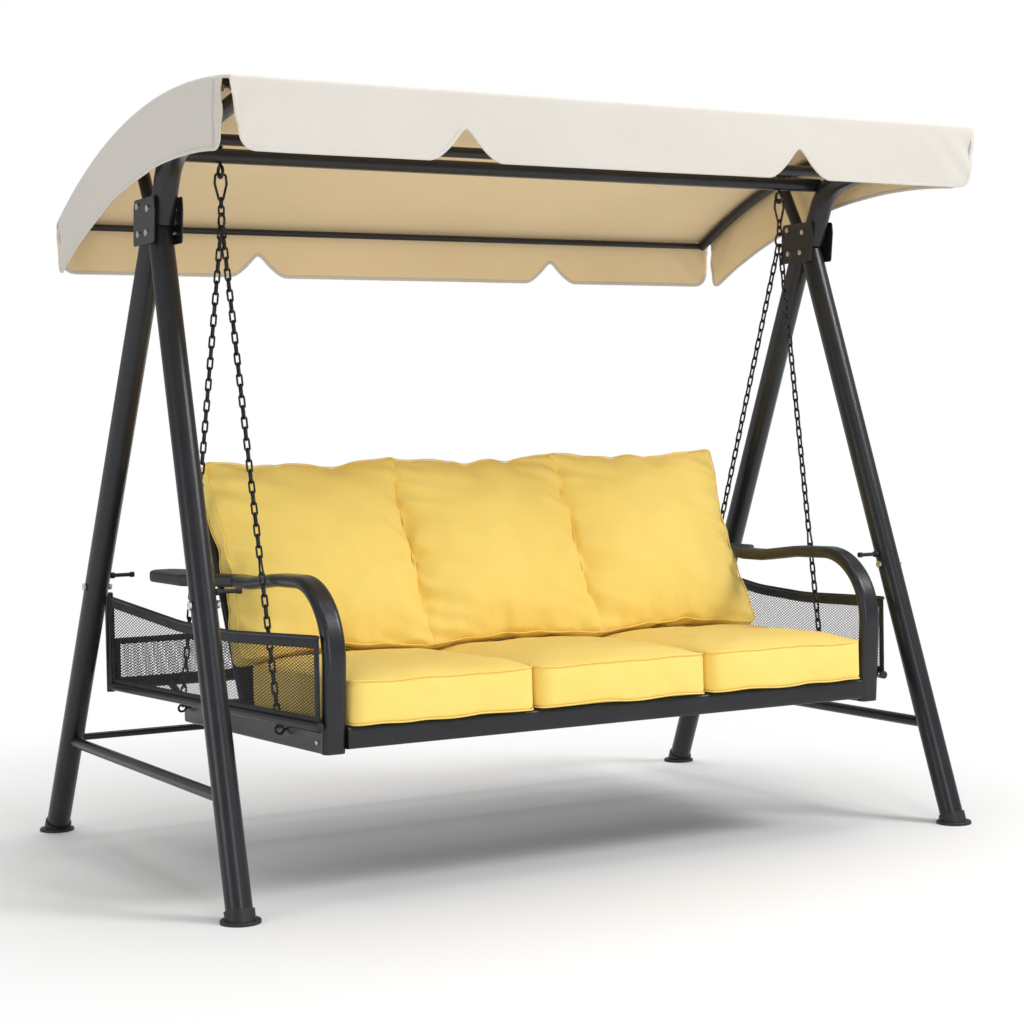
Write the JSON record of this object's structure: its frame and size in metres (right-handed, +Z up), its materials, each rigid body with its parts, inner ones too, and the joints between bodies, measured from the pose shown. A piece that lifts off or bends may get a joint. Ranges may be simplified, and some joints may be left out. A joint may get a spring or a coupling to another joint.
{
  "type": "canopy swing bench",
  "caption": "Garden swing bench that hangs on chains from a tube stand, with loose cushions, curved armrests, woven side panels and an arched cloth canopy.",
  "frame": {"origin": "on the ground under the middle of the bench's outer box", "axes": "+Z up, the sitter faces -Y, X along the bench"},
  "size_m": [2.09, 1.4119, 1.824],
  "materials": {
    "frame": "satin",
    "black_plastic": "matte",
    "bolt_steel": "satin",
    "chain_steel": "satin",
    "mesh": "matte",
    "canopy_cloth": "matte",
    "cushion_cloth": "matte"
  },
  "bodies": {
    "stand": {"leg_front_left": "frame", "leg_front_right": "frame", "leg_rear_left": "frame", "leg_rear_right": "frame", "foot_caps": "black_plastic", "apex_brackets": "frame", "side_stretchers": "frame", "canopy_arm_left": "frame", "canopy_arm_right": "frame", "canopy_arm_tips": "frame", "rear_struts": "frame", "canopy_side_rails": "frame", "hanger_eyes": "chain_steel", "arm_bushings": "black_plastic", "bracket_bolts": "bolt_steel", "leg_bolts": "bolt_steel", "rail_bolts": "bolt_steel", "bumper_rods": "frame", "rear_cross_bar": "frame", "main_beam": "frame", "canopy_end_bars": "frame", "canopy_mid_bar": "frame", "canopy_top": "canopy_cloth", "valance_front": "canopy_cloth", "valance_rear": "canopy_cloth", "valance_left": "canopy_cloth", "valance_right": "canopy_cloth"},
    "swing": {"arm_left": "frame", "arm_pad_left": "black_plastic", "arm_pad_right": "black_plastic", "arm_pad_supports": "frame", "arm_right": "frame", "back_base_rail": "frame", "back_cushion_left": "cushion_cloth", "back_cushion_middle": "cushion_cloth", "back_cushion_right": "cushion_cloth", "back_frame": "frame", "back_mesh": "mesh", "back_stays": "frame", "chain_lugs": "chain_steel", "chains_left": "chain_steel", "chains_right": "chain_steel", "corner_posts": "frame", "hanger_links": "chain_steel", "panel_rails": "frame", "panel_rods": "frame", "post_plugs": "black_plastic", "rear_mesh": "mesh", "rear_ties": "frame", "rivets": "bolt_steel", "seat_cushion_left": "cushion_cloth", "seat_cushion_middle": "cushion_cloth", "seat_cushion_right": "cushion_cloth", "seat_deck": "mesh", "seat_front_rail": "frame", "seat_rear_rail": "frame", "seat_side_rails": "frame", "seat_slats": "frame", "side_mesh_left": "mesh", "side_mesh_right": "mesh"}
  },
  "joints": [
    {"name": "seat_swing", "type": "hinge", "parent": "stand", "child": "swing", "pos_m": [0, -0.146, 1.6623], "axis": [1, 0, 0], "range_deg": [-18, 18]}
  ]
}
